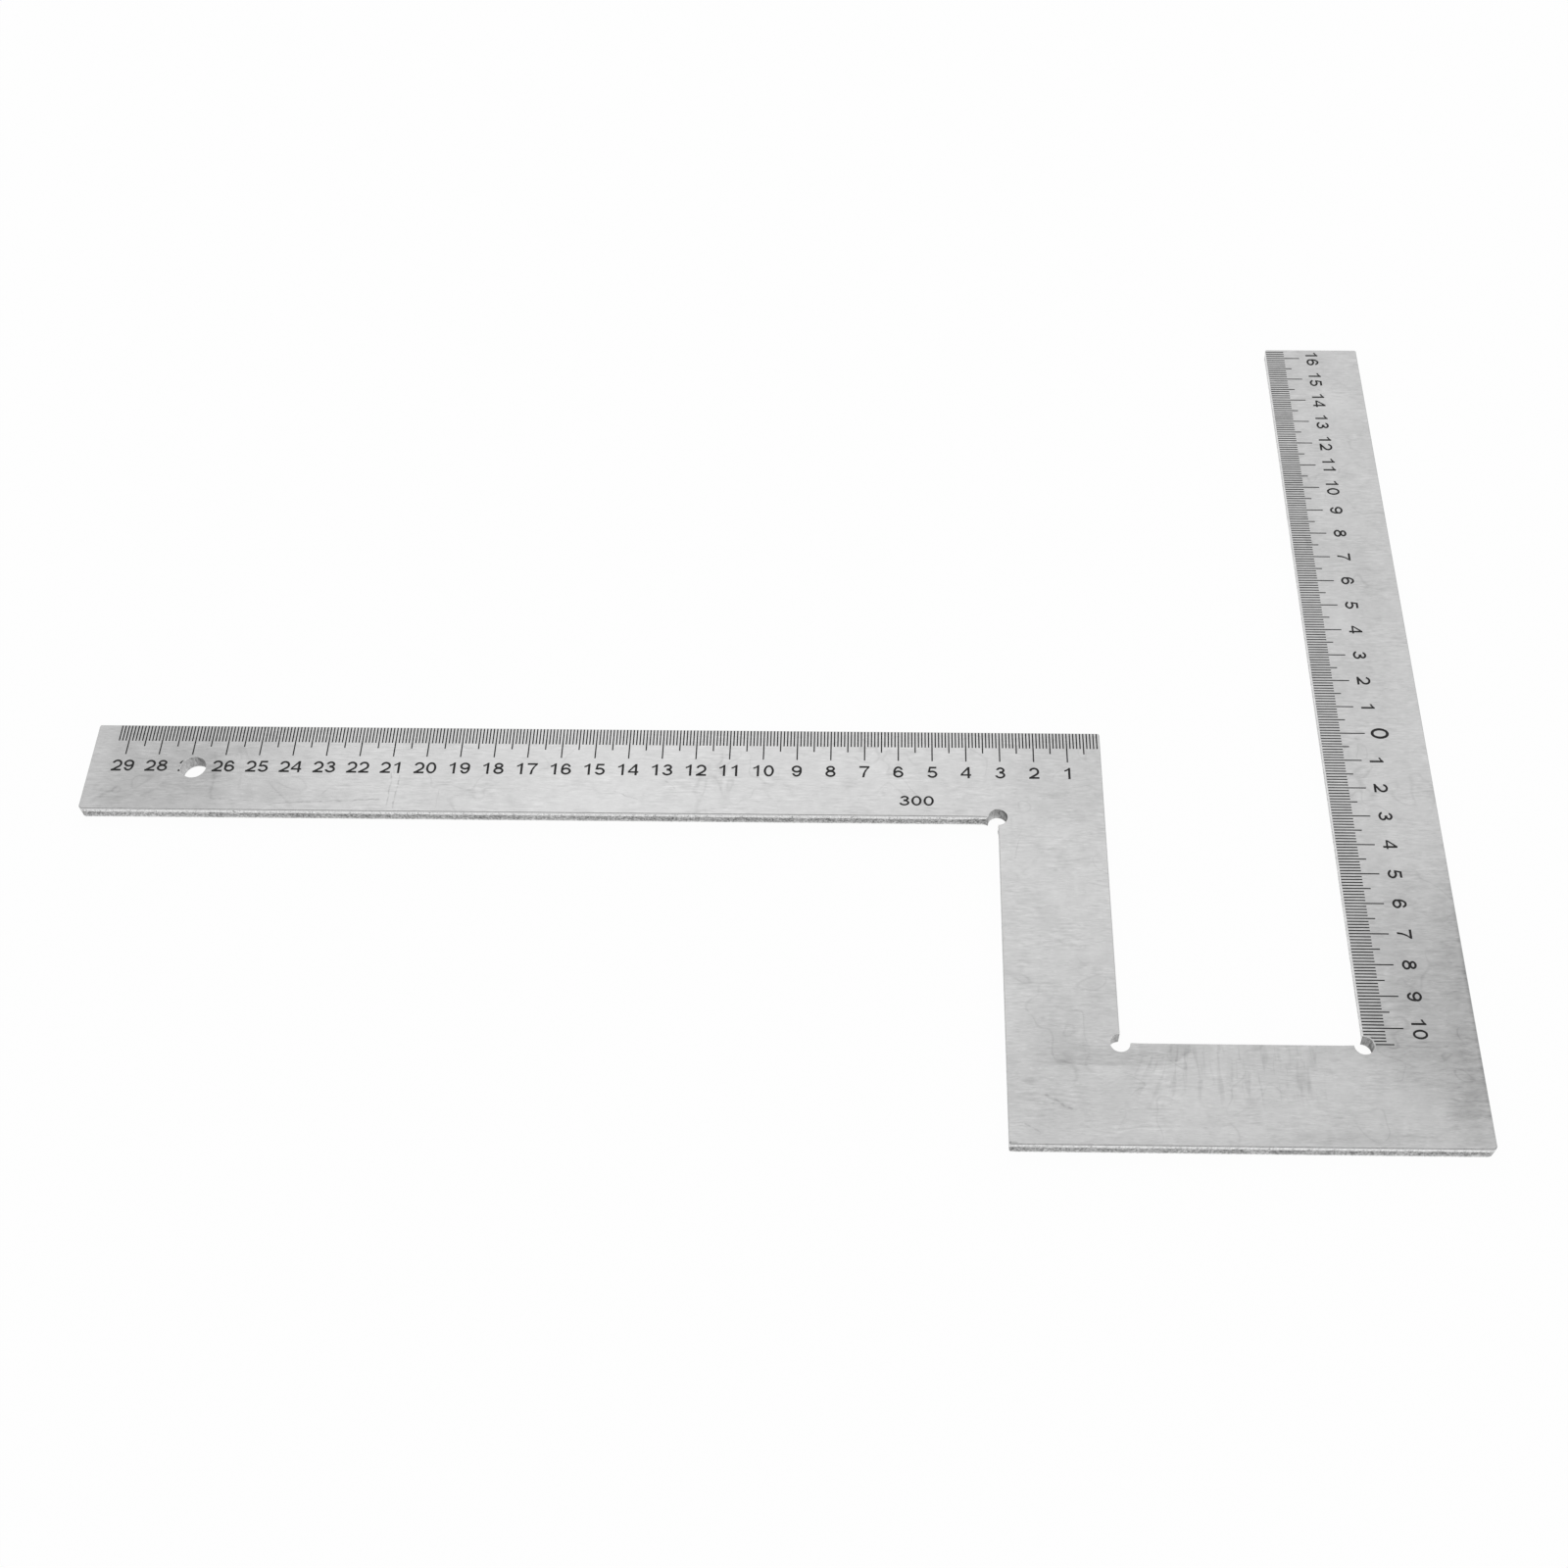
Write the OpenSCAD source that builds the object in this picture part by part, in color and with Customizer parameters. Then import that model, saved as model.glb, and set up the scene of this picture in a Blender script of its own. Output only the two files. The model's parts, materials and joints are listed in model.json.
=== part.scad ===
// Steel flange square: a flat plate cut as a long arm, a neck, a base and a tall arm.
// The plate lies on z = 0. The origin is the corner where the long arm's scale starts.
// The long arm runs towards -X, the neck and the base hang below it towards -Y, and the
// tall arm stands beside the gap, parallel to Y.

/* [Long arm] */
// Length of the long arm, from its zero corner to its free end
long_l = 300; // [240:5:400]
// Width of the long arm
long_w = 30.5; // [25:0.5:40]

/* [Neck and base] */
// Width of the neck that drops from the long arm
neck_w = 31; // [22:0.5:45]
// Width of the base that joins the neck to the tall arm
base_w = 30.5; // [22:0.5:45]
// Width of the gap between the neck and the tall arm
gap_w = 65.7; // [40:0.1:90]
// Depth of the gap, from the long arm's scale edge to the gap's floor
gap_depth = 104.3; // [75:0.1:130]

/* [Tall arm] */
// Length of the tall arm, from the base's lower edge to its free end
tall_l = 300; // [220:5:360]
// Width of the tall arm
tall_w = 31; // [25:0.5:40]

/* [Plate] */
// Thickness of the plate
plate_t = 4.8; // [3:0.1:8]
// Diameter of the relief drilled in each inner corner
relief_d = 5.5; // [3:0.5:8]
// Corner radius at the long arm's free end, on the plain edge
end_corner_r = 1.3; // [0.5:0.1:6]
// Corner radius where the base meets the tall arm's outer edge
base_corner_r = 1.3; // [0.5:0.1:6]
// Radius of the other outer corners
corner_r = 0.6; // [0.2:0.1:2]

/* [Hang hole] */
// Diameter of the hang hole
hang_d = 7.5; // [4:0.5:10]
// Distance of the hang hole's centre from the long arm's free end
hang_from_end = 31.1; // [15:0.1:60]

/* [Long arm scale] */
// Length of a millimetre mark on the long arm
long_mm_len = 5.7; // [3:0.1:7.5]
// Length of a five millimetre mark on the long arm
long_five_len = 7.7; // [6:0.1:10]
// Length of a centimetre mark on the long arm
long_cm_len = 10.7; // [8:0.1:13]
// Plain steel between a centimetre mark's end and the numeral below it
long_numeral_gap = 2; // [1:0.1:4]
// Plain steel left between the last mark and the long arm's free end, at least
long_plain_end = 7; // [2:0.5:20]

/* [Tall arm scale] */
// Length of a millimetre mark on the tall arm
tall_mm_len = 6.1; // [3:0.1:8]
// Length of a five millimetre mark on the tall arm
tall_five_len = 8.1; // [6:0.1:10]
// Length of a centimetre mark on the tall arm
tall_cm_len = 11.2; // [8:0.1:14]
// Length of the zero mark on the tall arm
tall_zero_len = 13.4; // [11:0.1:17]
// Plain steel between a centimetre mark's end and its numeral's foot
tall_numeral_gap = 2.3; // [1:0.1:4]
// Plain steel between the zero mark's end and its numeral's foot
zero_numeral_gap = 1.7; // [1:0.1:4]
// Height of the zero line above the long arm's scale edge
zero_y = 1; // [0:0.1:4]
// Plain steel left between the last mark and the tall arm's free end, at least
tall_plain_end = 1; // [0.5:0.5:10]

/* [Marks] */
// Width of a scale mark
mark_w = 0.4; // [0.2:0.05:0.5]
// Depth of the etched recesses
etch_depth = 0.15; // [0.1:0.05:0.5]
// How far the enamel lies below the plate's face
enamel_below = 0.02; // [0.01:0.01:0.05]
// Plain steel left between a mark and the straight edge it starts at
mark_land = 0.1; // [0.05:0.05:0.6]
// Plain steel left between a mark and a drilled hole
hole_land = 0.3; // [0.2:0.05:0.6]

/* [Numerals] */
// Height of the scale numerals
digit_h = 4.1; // [3:0.1:5]
// Height of the zero numeral on the tall arm
zero_h = 5.4; // [4:0.1:7]
// Height of the size numeral on the long arm
size_h = 3.5; // [3:0.1:5]
// How much wider the size numeral's digits are drawn than the scale numerals'
size_stretch = 1.17; // [1:0.01:1.3]
// Distance of the size numeral's middle from the long arm's zero corner
size_from_zero = 54.7; // [40:0.1:80]
// Distance of the size numeral's foot from the long arm's plain edge
size_from_plain = 3.7; // [2.5:0.1:4.5]

/* [Hidden] */
$fn = 64;

// edges of the plate
base_y = -gap_depth - base_w;
tall_end_y = base_y + tall_l;
outer_x = gap_w + tall_w;

// depths of the numerals' feet, from the scale edges
long_foot = long_cm_len + long_numeral_gap + digit_h;
tall_foot = tall_cm_len + tall_numeral_gap;
zero_foot = tall_zero_len + zero_numeral_gap;

// levels of the enamel
enamel_floor = plate_t - etch_depth;
enamel_t = etch_depth - enamel_below;

// last mark of each scale, in millimetres from its zero
long_last = floor(long_l - long_plain_end);
tall_last_up = floor(tall_end_y - zero_y - tall_plain_end);
tall_last_down = floor(gap_depth + zero_y);

// proportions of a numeral that is 1 high, with its foot on y = 0 and its middle on x = 0
glyph_w = 0.74;
glyph_stroke = 0.165;
glyph_advance = 0.87;

STEEL = "silver";
ENAMEL = [0.12, 0.12, 0.13];

// ---- numerals: each is drawn 1 high from straight bars and ovals of four arcs ----

// straight stroke between two points, square at its ends
module bar(a, b) {
    d = b - a;
    side = [-d.y, d.x] / norm(d) * glyph_stroke / 2;
    polygon([a - side, b - side, b + side, a + side]);
}

// upright oval of four tangent arcs; end_r is the radius of its top and bottom
module tall_oval(w, h, end_r) {
    rise = h / 2 - end_r;
    side_r = (w * w / 4 + rise * rise - end_r * end_r) / (w - 2 * end_r);
    reach = side_r - w / 2;
    joint_y = rise + end_r * rise / norm([reach, rise]);
    for (s = [-1, 1])
        translate([0, s * rise])
            circle(r = end_r);
    intersection() {
        translate([reach, 0])
            circle(r = side_r, $fn = 180);
        translate([-reach, 0])
            circle(r = side_r, $fn = 180);
        square([w + 1, 2 * joint_y], center = true);
    }
}

// oval of any proportion, centred on the origin
module oval(w, h) {
    if (w < h)
        tall_oval(w, h, 0.8 * w / 2);
    else
        rotate(90)
            tall_oval(h, w, 0.8 * h / 2);
}

// closed stroke that follows an oval
module oval_ring(w, h) {
    difference() {
        oval(w, h);
        oval(w - 2 * glyph_stroke, h - 2 * glyph_stroke);
    }
}

module glyph_0() {
    translate([0, 0.5])
        oval_ring(glyph_w, 1);
}

module glyph_1() {
    stem_x = 0.17;
    inner_x = stem_x - glyph_stroke;
    polygon([[inner_x, 0], [stem_x, 0], [stem_x, 1], [0.055, 1], [-0.035, 0.9],
        [-0.165, 0.82], [-0.26, 0.79], [-0.26, 0.65], [-0.09, 0.71], [inner_x, 0.79]]);
}

module glyph_2() {
    r = glyph_w / 2;
    mid_r = r - glyph_stroke / 2;
    bowl = [0, 1 - r];
    heel = [-r + 0.09, glyph_stroke / 2];
    to_bowl = bowl - heel;
    slope = atan2(to_bowl.y, to_bowl.x) - asin(mid_r / norm(to_bowl));
    touch = bowl + mid_r * [cos(slope - 90), sin(slope - 90)];
    difference() {
        translate(bowl)
            difference() {
                circle(r = r);
                circle(r = r - glyph_stroke);
            }
        polygon([bowl, bowl + 2 * (touch - bowl), [touch.x, -1], [-1, -1],
            bowl + [-1, 0.22], bowl]);
    }
    bar(heel, touch);
    translate([-r, 0])
        square([2 * r, glyph_stroke]);
}

module glyph_3() {
    difference() {
        union() {
            translate([0.02, 0.735])
                oval_ring(0.62, 0.53);
            translate([0, 0.3])
                oval_ring(glyph_w, 0.6);
        }
        polygon([[-1, 0.77], [-0.06, 0.74], [-0.06, 0.3], [-1, 0.23]]);
    }
}

module glyph_4() {
    stem_x = 0.09;
    bar_y = 0.22;
    bar_h = 0.85 * glyph_stroke;
    difference() {
        polygon([[-0.4, bar_y], [stem_x + 0.05, bar_y], [stem_x + 0.05, 1],
            [stem_x + 0.02, 1], [-0.4, bar_y + bar_h]]);
        polygon([[-0.25, bar_y + bar_h], [stem_x, bar_y + bar_h], [stem_x, 0.75]]);
    }
    translate([stem_x, 0])
        square([glyph_stroke, 1]);
    translate([stem_x, bar_y])
        square([0.27, bar_h]);
}

module glyph_5() {
    bowl_h = 0.66;
    bar_foot = 1 - glyph_stroke;
    polygon([[-0.33, 0.475], [-0.15, 0.475], [-0.165, 0.56], [-0.11, bar_foot],
        [0.3, bar_foot], [0.3, 1], [-0.22, 1]]);
    difference() {
        translate([0, bowl_h / 2])
            oval_ring(glyph_w, bowl_h);
        polygon([[0, bowl_h / 2], [-0.64, 0.91], [-1, 0.91], [-1, 0.22], [-0.24, 0.27]]);
    }
}

module glyph_6() {
    bowl_h = 0.64;
    bowl_y = bowl_h / 2;
    difference() {
        union() {
            translate([0, bowl_y])
                oval(glyph_w, bowl_h);
            difference() {
                translate([0, 0.5])
                    oval_ring(glyph_w, 1);
                translate([-1, bowl_y - 2])
                    square(2);
                polygon([[0, bowl_y - 1], [0, 0.66], [1, 0.79], [1, -1]]);
            }
        }
        translate([0, bowl_y])
            oval(glyph_w - 2 * glyph_stroke, bowl_h - 2 * glyph_stroke);
    }
}

module glyph_7() {
    bar_foot = 1 - glyph_stroke;
    polygon([[-glyph_w / 2, bar_foot], [0.19, bar_foot], [0.03, 0.64], [-0.1, 0.34],
        [-0.16, 0], [0.005, 0], [0.06, 0.38], [0.19, 0.66], [glyph_w / 2, 0.88],
        [glyph_w / 2, 1], [-glyph_w / 2, 1]]);
}

module glyph_8() {
    translate([0, 0.74])
        oval_ring(0.64, 0.52);
    translate([0, 0.3])
        oval_ring(glyph_w, 0.6);
}

module glyph_9() {
    translate([0, 1])
        rotate(180)
            glyph_6();
}

module glyph(d) {
    if (d == 0) glyph_0();
    if (d == 1) glyph_1();
    if (d == 2) glyph_2();
    if (d == 3) glyph_3();
    if (d == 4) glyph_4();
    if (d == 5) glyph_5();
    if (d == 6) glyph_6();
    if (d == 7) glyph_7();
    if (d == 8) glyph_8();
    if (d == 9) glyph_9();
}

function digits_of(n) = n < 10 ? [n] : concat(digits_of(floor(n / 10)), [n % 10]);

// half of the width that a whole number n takes up
function number_reach(n, height) =
    height * ((len(digits_of(n)) - 1) * glyph_advance + glyph_w) / 2;

// whole number n, its foot on y = 0 and its middle on x = 0
module number(n, height) {
    digits = digits_of(n);
    scale(height)
        for (i = [0 : len(digits) - 1])
            translate([(i - (len(digits) - 1) / 2) * glyph_advance, 0])
                glyph(digits[i]);
}

// ---- scale marks, as flat shapes ----

// one mark across a scale edge: it starts one land inside the edge, and ends at length
module mark(length) {
    translate([-mark_w / 2, mark_land])
        square([mark_w, length - mark_land]);
}

// place on the long arm, mm from its zero, with the depth below the edge along +Y
module on_long(mm) {
    translate([-mm, 0])
        mirror([0, 1])
            children();
}

// place on the tall arm, mm above its zero, with the distance from the edge along +Y
module on_tall(mm) {
    translate([gap_w, zero_y + mm])
        rotate(-90)
            children();
}

function is_cm(mm) = mm % 10 == 0;
function is_five(mm) = mm % 5 == 0 && !is_cm(mm);
function is_mm(mm) = mm % 5 != 0;

long_steps = [for (mm = [1 : long_last]) mm];
tall_steps = [for (mm = [-tall_last_down : tall_last_up]) mm];
long_cms = [for (mm = long_steps) if (is_cm(mm)) mm];
tall_cms = [for (mm = tall_steps) if (is_cm(mm) && mm != 0) mm];

// a centimetre has a numeral where the numeral fits on the arm
function fits(mm, room) = mm + number_reach(mm / 10, digit_h) + mark_land < room;
long_numbered = [for (mm = long_cms) if (fits(mm, long_l)) mm];
tall_numbered = [for (mm = tall_cms) if (mm < 0 || fits(mm, tall_end_y - zero_y)) mm];

// holes and reliefs, each grown by the plain land that marks keep from them
module keep_clear() {
    hang_hole_outline(hole_land);
    relief_outlines(hole_land);
}

module clear_of_holes() {
    difference() {
        children();
        keep_clear();
    }
}

module long_mm_shapes() {
    for (mm = long_steps)
        if (is_mm(mm))
            on_long(mm)
                mark(long_mm_len);
}

module long_five_shapes() {
    for (mm = long_steps)
        if (is_five(mm))
            on_long(mm)
                mark(long_five_len);
}

module long_cm_shapes() {
    for (mm = long_cms)
        on_long(mm)
            mark(long_cm_len);
}

module long_number_shapes() {
    for (mm = long_numbered)
        translate([-mm, -long_foot])
            number(mm / 10, digit_h);
}

module size_number_shape() {
    translate([-size_from_zero, size_from_plain - long_w])
        scale([size_stretch, 1])
            number(long_l, size_h);
}

module tall_mm_shapes() {
    for (mm = tall_steps)
        if (is_mm(mm))
            on_tall(mm)
                mark(tall_mm_len);
}

module tall_five_shapes() {
    for (mm = tall_steps)
        if (is_five(mm))
            on_tall(mm)
                mark(tall_five_len);
}

module tall_cm_shapes() {
    for (mm = tall_cms)
        on_tall(mm)
            mark(tall_cm_len);
}

module tall_zero_shape() {
    on_tall(0)
        mark(tall_zero_len);
}

module tall_number_shapes() {
    for (mm = tall_numbered)
        on_tall(mm)
            translate([0, tall_foot])
                number(abs(mm) / 10, digit_h);
}

module tall_zero_number_shape() {
    on_tall(0)
        translate([0, zero_foot])
            number(0, zero_h);
}

module all_marks() {
    clear_of_holes() {
        long_mm_shapes();
        long_five_shapes();
        long_cm_shapes();
        long_number_shapes();
        size_number_shape();
        tall_mm_shapes();
        tall_five_shapes();
        tall_cm_shapes();
        tall_zero_shape();
        tall_number_shapes();
        tall_zero_number_shape();
    }
}

// ---- plate ----

module hang_hole_outline(grow = 0) {
    translate([hang_from_end - long_l, -long_w / 2])
        circle(d = hang_d + 2 * grow);
}

module relief_outlines(grow = 0) {
    for (p = [[-neck_w, -long_w], [0, -gap_depth], [gap_w, -gap_depth]])
        translate(p)
            circle(d = relief_d + 2 * grow);
}

// what a corner of radius r loses; sx and sy point out of the plate
module corner_waste(p, r, sx, sy) {
    translate([p.x - sx * r, p.y - sy * r])
        difference() {
            translate([sx > 0 ? 0 : -2 * r, sy > 0 ? 0 : -2 * r])
                square(2 * r);
            circle(r = r);
        }
}

module plate_outline() {
    difference() {
        polygon([
            [0, 0],
            [-long_l, 0],
            [-long_l, -long_w],
            [-neck_w, -long_w],
            [-neck_w, base_y],
            [outer_x, base_y],
            [outer_x, tall_end_y],
            [gap_w, tall_end_y],
            [gap_w, -gap_depth],
            [0, -gap_depth]
        ]);
        corner_waste([0, 0], corner_r, 1, 1);
        corner_waste([-long_l, 0], corner_r, -1, 1);
        corner_waste([-long_l, -long_w], end_corner_r, -1, -1);
        corner_waste([-neck_w, base_y], corner_r, -1, -1);
        corner_waste([outer_x, base_y], base_corner_r, 1, -1);
        corner_waste([outer_x, tall_end_y], corner_r, 1, 1);
        corner_waste([gap_w, tall_end_y], corner_r, -1, 1);
        relief_outlines();
        hang_hole_outline();
    }
}

module steel_plate() {
    color(STEEL)
        difference() {
            linear_extrude(plate_t)
                plate_outline();
            translate([0, 0, enamel_floor])
                linear_extrude(2 * etch_depth)
                    all_marks();
        }
}

// ---- black enamel that fills the etched marks ----

module enamel() {
    color(ENAMEL)
        translate([0, 0, enamel_floor])
            linear_extrude(enamel_t)
                clear_of_holes()
                    children();
}

module long_scale_mm_marks() {
    enamel()
        long_mm_shapes();
}

module long_scale_five_marks() {
    enamel()
        long_five_shapes();
}

module long_scale_cm_marks() {
    enamel()
        long_cm_shapes();
}

module long_scale_numerals() {
    enamel()
        long_number_shapes();
}

module size_numeral() {
    enamel()
        size_number_shape();
}

module tall_scale_mm_marks() {
    enamel()
        tall_mm_shapes();
}

module tall_scale_five_marks() {
    enamel()
        tall_five_shapes();
}

module tall_scale_cm_marks() {
    enamel()
        tall_cm_shapes();
}

module tall_scale_zero_mark() {
    enamel()
        tall_zero_shape();
}

module tall_scale_numerals() {
    enamel()
        tall_number_shapes();
}

module tall_scale_zero_numeral() {
    enamel()
        tall_zero_number_shape();
}

steel_plate();
long_scale_mm_marks();
long_scale_five_marks();
long_scale_cm_marks();
long_scale_numerals();
size_numeral();
tall_scale_mm_marks();
tall_scale_five_marks();
tall_scale_cm_marks();
tall_scale_zero_mark();
tall_scale_numerals();
tall_scale_zero_numeral();
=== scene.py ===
# Steel flange square, finished: brushed faces, sheared and drilled edges, enamel in the marks.
import json
import math

import bmesh
import bpy
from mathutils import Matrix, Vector, noise
from mathutils.geometry import delaunay_2d_cdt


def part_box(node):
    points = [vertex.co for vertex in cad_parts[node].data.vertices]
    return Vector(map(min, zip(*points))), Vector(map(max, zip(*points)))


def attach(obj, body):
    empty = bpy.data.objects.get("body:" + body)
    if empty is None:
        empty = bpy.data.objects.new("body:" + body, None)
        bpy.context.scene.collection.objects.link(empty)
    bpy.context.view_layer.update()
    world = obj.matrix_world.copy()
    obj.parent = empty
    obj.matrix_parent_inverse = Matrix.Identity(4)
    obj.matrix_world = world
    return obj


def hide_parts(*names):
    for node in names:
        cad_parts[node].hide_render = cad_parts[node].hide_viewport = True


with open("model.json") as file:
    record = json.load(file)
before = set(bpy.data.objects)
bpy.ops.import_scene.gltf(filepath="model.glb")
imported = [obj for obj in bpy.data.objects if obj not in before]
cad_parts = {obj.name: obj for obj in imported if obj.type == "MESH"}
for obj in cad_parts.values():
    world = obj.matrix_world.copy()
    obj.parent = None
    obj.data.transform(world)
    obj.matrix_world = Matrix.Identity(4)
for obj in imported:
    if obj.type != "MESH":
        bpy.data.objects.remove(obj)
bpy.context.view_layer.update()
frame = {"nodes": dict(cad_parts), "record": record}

MM = 0.001

# ---- what the frame says ----

PLATE = "steel_plate"
ENAMEL_NODES = [name for name in frame["nodes"] if name != PLATE]
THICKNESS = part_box(PLATE)[1].z
MOUNTS = {mount["name"]: mount for mount in frame["record"]["mounts"]}


def mount_at(name):
    return Vector(MOUNTS[name]["pos_m"]).xy


HANG_CENTRE = mount_at("hang_hole")
HANG_R = MOUNTS["hang_hole"]["dims"]["r_mm"] * MM
GAP_FLOOR_Y = mount_at("gap_floor").y
INNER_CORNERS = [
    Vector((mount_at("neck_outer_edge").x, mount_at("long_plain_edge").y)),
    Vector((mount_at("neck_inner_edge").x, GAP_FLOOR_Y)),
    Vector((mount_at("tall_scale_edge").x, GAP_FLOOR_Y)),
]

# ---- how the edges were cut ----

SAME = 0.02 * MM  # two places closer than this are one place
WALK = 0.4 * MM  # spacing of the points along an edge

SHEARED_ROLL = 0.25 * MM  # how far the rolled rim of a sheared edge draws in on the face
SCALE_ROLL = 0.06 * MM  # the same where the marks run out to the edge
DRILLED_ROLL = 0.06 * MM  # and round a drilled hole
ROLL_DROP = 1.6  # how far down the wall a roll reaches, in widths of its draw-in
BURNISH = 1.1 * MM  # height of the smooth band under the roll
BURNISH_WAVE = 0.22  # how unevenly that band ends, as a share of its height
TEAR_STEP = 0.05 * MM  # the torn band starts this far in
TEAR_GRAIN = 0.12 * MM  # depth of the torn band's grain
DRILL_GRAIN = 0.05 * MM  # depth of the scores in a drilled hole
FOOT_ROLL = 0.08 * MM  # rounding at the underside
SCALE_EDGES = ("long_scale_edge", "tall_scale_edge")
RELIEF_REACH = 3 * MM  # an edge nearer than this to an inner corner is drilled
CORNER_LEAN = 0.15 * MM  # lean of the torn band at a rounded corner
CHANGE = 3  # points that a roll or a lean takes to change along an edge, each way
SHARP_TURN = 0.3  # sine of the turn from which two walls meet at a corner

# how far the torn band leans in by the underside, for each edge
LEAN = {
    "long_plain_edge": 0.36 * MM,
    "tall_scale_edge": 0.36 * MM,
    "neck_inner_edge": 0.2 * MM,
    "neck_outer_edge": 0.2 * MM,
    "gap_floor": 0.2 * MM,
    "long_scale_edge": 0.2 * MM,
    "tall_outer_edge": 0.2 * MM,
    "base_edge": 0.06 * MM,
}

ROLL_RINGS = 5
BURNISH_RINGS = 3
TEAR_RINGS = 9

# material slots of the plate
BRUSHED, ROLLED, BURNISHED, TORN, DRILLED = range(5)


# ---- the plate's outline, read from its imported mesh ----


def cad_plate():
    """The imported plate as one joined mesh."""
    mesh = bmesh.new()
    mesh.from_mesh(frame["nodes"][PLATE].data)
    bmesh.ops.remove_doubles(mesh, verts=mesh.verts, dist=SAME / 100)
    return mesh


def at_height(face, z):
    return all(abs(vert.co.z - z) < SAME for vert in face.verts)


def face_loops(mesh, z):
    """The closed loops of vertices round the plate's face at height z, with steel on their left."""
    faces = {face for face in mesh.faces if at_height(face, z)}
    after = {}
    for face in faces:
        for corner in face.loops:
            if sum(1 for other in corner.edge.link_faces if other in faces) == 1:
                after[corner.vert] = corner.link_loop_next.vert
    loops = []
    while after:
        start, vert = after.popitem()
        loop = [start]
        while vert is not start:
            loop.append(vert)
            vert = after.pop(vert)
        loops.append(loop)
    loops.sort(key=lambda loop: (loop[0].co.x, loop[0].co.y))
    return loops


def is_hang_hole(loop):
    return all((vert.co.xy - HANG_CENTRE).length < HANG_R + SAME for vert in loop)


def width_of(loop):
    across = [vert.co.x for vert in loop]
    return max(across) - min(across)


# ---- walking along an edge ----


class Edge:
    """One closed edge of the plate, as evenly spaced points with the steel on their left."""

    def __init__(self, corners, drilled_all=False):
        self.points = spaced_out(corners)
        self.path = [i * WALK for i in range(len(self.points))]
        steps = list(zip(self.points, self.points[1:] + self.points[:1]))
        self.sides = []
        for here, there in steps:
            along = (there - here).normalized()
            self.sides.append(Vector((-along.y, along.x)))
        middles = [(here + there) / 2 for here, there in steps]
        self.drilled = [drilled_all or on_relief(middle) for middle in middles]
        names = [None if drilled else edge_name(middle, side)
                 for drilled, middle, side in zip(self.drilled, middles, self.sides)]
        kinds = list(zip(names, self.drilled))
        self.lean = smoothed([lean_of(*kind) for kind in kinds], CHANGE)
        self.roll = eased([roll_of(*kind) for kind in kinds], CHANGE)

    def inset(self, index, before_depth, after_depth):
        """Vector from a point to where both of its sides are moved in by their own depth."""
        before, after = self.sides[index - 1], self.sides[index]
        turn = before.x * after.y - before.y * after.x
        if abs(turn) < SHARP_TURN:
            middle = (before + after).normalized()
            return middle * (before_depth + after_depth) / 2
        return Vector((before_depth * after.y - after_depth * before.y,
                       after_depth * before.x - before_depth * after.x)) / turn


def spaced_out(corners):
    """The corners, with points between them no further apart than the walk."""
    points = []
    for here, there in zip(corners, corners[1:] + corners[:1]):
        steps = max(1, math.ceil((there - here).length / WALK - 0.01))
        points += [here.lerp(there, step / steps) for step in range(steps)]
    return points


def on_relief(place):
    return min((place - corner).length for corner in INNER_CORNERS) < RELIEF_REACH


def edge_name(place, side):
    """The mount whose straight edge the place is on, or None at a rounded corner."""
    for name in LEAN:
        outward = Vector(MOUNTS[name]["axis"]).xy
        if outward.dot(side) < -0.99 and abs((place - mount_at(name)).dot(outward)) < SAME:
            return name
    return None


def lean_of(name, drilled):
    return 0.0 if drilled else LEAN.get(name, CORNER_LEAN)


def roll_of(name, drilled):
    if drilled:
        return DRILLED_ROLL
    return SCALE_ROLL if name in SCALE_EDGES else SHEARED_ROLL


def smoothed(values, reach):
    """Each value averaged with its neighbours on both sides, round the loop."""
    count = len(values)
    window = range(-reach, reach + 1)
    return [sum(values[(i + step) % count] for step in window) / len(window)
            for i in range(count)]


def eased(values, reach):
    """Each value brought smoothly down to the smaller ones near it, which keep their size."""
    count = len(values)
    window = range(-reach, reach + 1)
    return smoothed([min(values[(i + step) % count] for step in window)
                     for i in range(count)], reach)


def grain(*place):
    """Smooth noise from -1 to 1. The third number sets each use's noise apart."""
    return noise.noise(Vector(place))


def rings_below(edge, index, side):
    """(height, depth, band) of each ring below a point, for one of the two sides it is on."""
    along = edge.path[index]
    roll_in = edge.roll[side]
    roll_foot = THICKNESS - ROLL_DROP * roll_in
    drilled = edge.drilled[side]
    rings = []
    for k in range(ROLL_RINGS):
        turn = math.pi / 2 * k / (ROLL_RINGS - 1)
        rings.append((roll_foot + (THICKNESS - roll_foot) * math.cos(turn),
                      roll_in * (1 - math.sin(turn)), BURNISHED if drilled else ROLLED))
    wave = grain(along / (6 * MM), 0, 3) + 0.5 * grain(along / (1.1 * MM), 0, 8)
    tear_top = roll_foot - BURNISH * (1 + BURNISH_WAVE * wave)
    for k in range(1, BURNISH_RINGS + 1):
        z = roll_foot + (tear_top - roll_foot) * k / BURNISH_RINGS
        rings.append((z, drill_score(along, z) if drilled else 0.0,
                      DRILLED if drilled else BURNISHED))
    for k in range(1, TEAR_RINGS + 1):
        share = k / TEAR_RINGS
        z = max(0.0, tear_top * (1 - share))
        torn = TEAR_STEP + edge.lean[side] * share + tear_grain(along, z)
        rings.append((z, drill_score(along, z) if drilled else torn,
                      DRILLED if drilled else TORN))
    return rings


def tear_grain(along, z):
    """Depth of the torn band's grain at a place, with the rounding at the underside."""
    coarse = grain(along / (0.9 * MM), z / (0.7 * MM), 20)
    fine = grain(along / (0.35 * MM), z / (0.35 * MM), 40)
    return max(0.0, TEAR_GRAIN * (0.5 + 0.5 * coarse + 0.5 * fine)) + foot_roll(z)


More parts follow.
